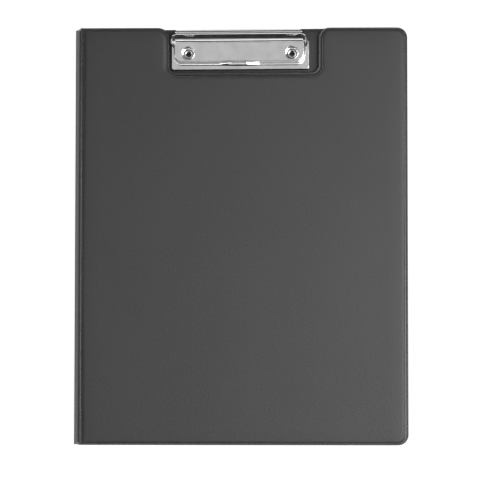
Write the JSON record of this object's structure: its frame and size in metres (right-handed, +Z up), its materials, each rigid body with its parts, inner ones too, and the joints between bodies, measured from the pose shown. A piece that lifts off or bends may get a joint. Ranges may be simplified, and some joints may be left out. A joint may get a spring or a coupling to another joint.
{
  "type": "clip folder",
  "caption": "Closed clipboard folder: vinyl-covered back board with a sprung metal clip, a narrow spine and a notched front cover that folds open.",
  "frame": {"origin": "middle of the closed folder's footprint, on the surface that it lies on", "axes": "+X from the spine to the free edge of the covers, +Y towards the clip, +Z up, out of the front cover"},
  "size_m": [0.2546, 0.3176, 0.0215],
  "materials": {
    "vinyl_film": "fine-grained black vinyl film",
    "vinyl_crease": "welded vinyl crease",
    "pocket_film": "smooth black vinyl film",
    "greyboard": "uncoated greyboard",
    "nickel_base": "bright nickel-plated sheet steel",
    "nickel_flap": "nickel-plated sheet steel, satin top",
    "nickel_pin": "nickel-plated steel",
    "nickel_rivet": "bright nickel-plated steel",
    "spring_wire": "drawn spring steel"
  },
  "bodies": {
    "back": {"back_outer_sheet": "vinyl_film", "back_board": "greyboard", "back_inner_sheet": "vinyl_film", "clip_base": "nickel_base", "pivot_pin": "nickel_pin", "clip_spring": "spring_wire", "rivet_left": "nickel_rivet", "rivet_right": "nickel_rivet", "rivet_washer_left": "nickel_rivet", "rivet_washer_right": "nickel_rivet"},
    "spine": {"lower_crease": "vinyl_crease", "spine_outer_sheet": "vinyl_film", "spine_board": "greyboard", "spine_inner_sheet": "vinyl_film", "upper_crease": "vinyl_crease"},
    "cover": {"cover_outer_sheet": "vinyl_film", "cover_board": "greyboard", "cover_inner_sheet": "vinyl_film", "cover_pocket": "pocket_film"},
    "flap": {"clip_flap": "nickel_flap"}
  },
  "joints": [
    {"name": "spine_fold", "type": "hinge", "parent": "back", "child": "spine", "pos_m": [-0.12657, 0, 0.00135], "axis": [0, -1, 0], "range_deg": [0, 115]},
    {"name": "cover_fold", "type": "hinge", "parent": "spine", "child": "cover", "pos_m": [-0.12108, 0, 0.01313], "axis": [0, -1, 0], "range_deg": [0, 66.98]},
    {"name": "clip_open", "type": "hinge", "parent": "back", "child": "flap", "pos_m": [-0.00032, 0.1465, 0.0076], "axis": [-1, 0, 0], "range_deg": [0, 35], "stiffness_Nm_per_rad": 0.4, "springref_deg": -57.3, "deforming": ["clip_spring"]}
  ]
}
